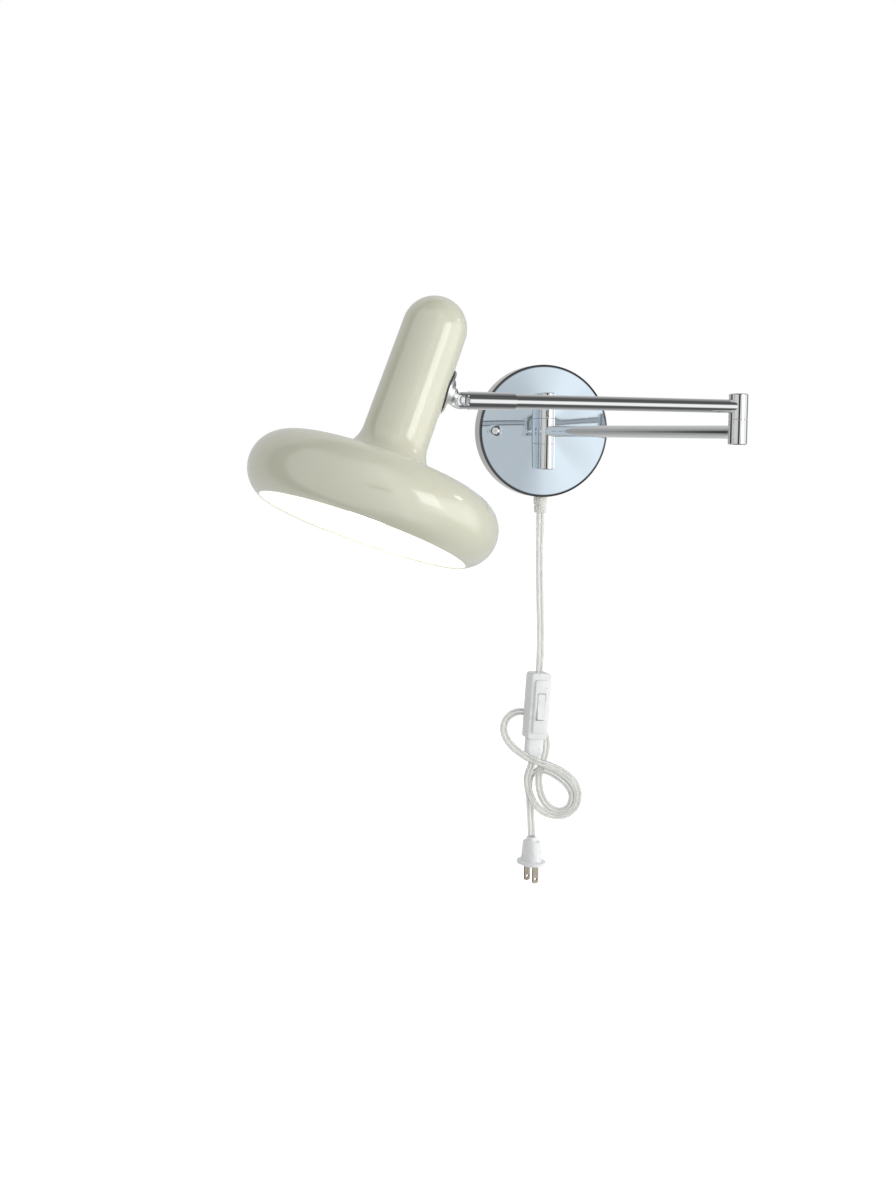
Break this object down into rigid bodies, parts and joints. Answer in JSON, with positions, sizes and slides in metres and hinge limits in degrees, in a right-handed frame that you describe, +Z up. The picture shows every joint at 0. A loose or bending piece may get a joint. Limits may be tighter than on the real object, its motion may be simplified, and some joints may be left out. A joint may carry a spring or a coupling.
{
  "type": "swing arm wall lamp",
  "caption": "Plug-in wall lamp with a folding chrome arm, a swivelling and tilting neck and a glossy cream mushroom shade, with an in-line rocker switch on its clear cord.",
  "frame": {"origin": "midway between the two wall screw holes, on the wall", "axes": "+Z up the wall, +Y into the wall, so that the lamp reaches out towards -Y; +X to the right seen from the room"},
  "size_m": [0.3822, 0.4641, 0.5095],
  "materials": {
    "chrome": "polished",
    "zinc_steel": "zinc plated",
    "screw_steel": "polished",
    "nickel": "nickel plated",
    "brass": "satin",
    "clear_cord": "clear, soft",
    "clear_plastic": "clear, slightly hazy",
    "milky_plastic": "translucent white",
    "nylon": "satin",
    "gasket": "matt",
    "cream_enamel": "gloss enamel outside, white inside",
    "porcelain": "glazed",
    "opal_glass": "opal"
  },
  "bodies": {
    "wall_side": {"wall_bracket": "zinc_steel", "bracket_studs": "zinc_steel", "back_plate": "chrome", "cap_nuts": "chrome", "upper_knuckle": "chrome", "lower_knuckle": "chrome", "knuckle_nuts": "zinc_steel", "hub_pin": "zinc_steel", "hub_washers": "nylon", "terminal_block": "porcelain", "terminal_screws": "brass", "cord_gland": "clear_plastic", "gland_nut": "clear_plastic", "inner_lead": "clear_cord", "hub_lead": "clear_cord", "cord_upper": "clear_cord", "switch_base": "milky_plastic", "switch_cover": "milky_plastic", "switch_screws": "screw_steel", "switch_contacts": "brass", "switch_relief": "clear_plastic", "cord_lower": "clear_cord", "plug_body": "clear_plastic", "plug_blades": "nickel"},
    "lower_arm": {"hub_sleeve": "chrome", "lower_arm_tube": "chrome", "lower_arm_lead": "clear_cord", "elbow_lower_sleeve": "chrome", "elbow_end_cap": "chrome", "elbow_washer": "nylon"},
    "upper_arm": {"elbow_upper_sleeve": "chrome", "elbow_pin": "zinc_steel", "elbow_spring_washer": "zinc_steel", "upper_arm_tube": "chrome", "upper_arm_lead": "clear_cord", "swivel_bush": "brass"},
    "swivel": {"swivel_sleeve": "chrome", "swivel_screw": "screw_steel", "tilt_screw": "screw_steel", "tilt_nut": "screw_steel"},
    "head": {"shade_neck": "chrome", "neck_gasket": "gasket", "neck_nut": "zinc_steel", "shade_shell": "cream_enamel", "holder_bracket": "zinc_steel", "lamp_holder": "porcelain", "holder_nut": "zinc_steel", "shade_lead": "clear_cord", "bulb_cap": "nickel", "bulb_glass": "opal_glass"},
    "rocker": {"switch_rocker": "milky_plastic"}
  },
  "joints": [
    {"name": "hub_swing", "type": "hinge", "parent": "wall_side", "child": "lower_arm", "pos_m": [0, -0.03, 0], "axis": [0, 0, 1], "range_deg": [-100, 60]},
    {"name": "elbow_swing", "type": "hinge", "parent": "lower_arm", "child": "upper_arm", "pos_m": [0.08878, -0.26371, 0.0194], "axis": [0, 0, 1], "range_deg": [-45, 180]},
    {"name": "head_roll", "type": "hinge", "parent": "upper_arm", "child": "swivel", "pos_m": [-0.14367, -0.35574, 0.0194], "axis": [-0.9298, -0.3681, 0], "range_deg": [-90, 90]},
    {"name": "head_tilt", "type": "hinge", "parent": "swivel", "child": "head", "pos_m": [-0.14367, -0.35574, 0.0194], "axis": [0.3681, -0.9298, 0], "range_deg": [-65, 70]},
    {"name": "rocker_press", "type": "hinge", "parent": "wall_side", "child": "rocker", "pos_m": [-0.00031, -0.02302, -0.25407], "axis": [0.9884, 0.1392, -0.0605], "range_deg": [0, 12]}
  ]
}
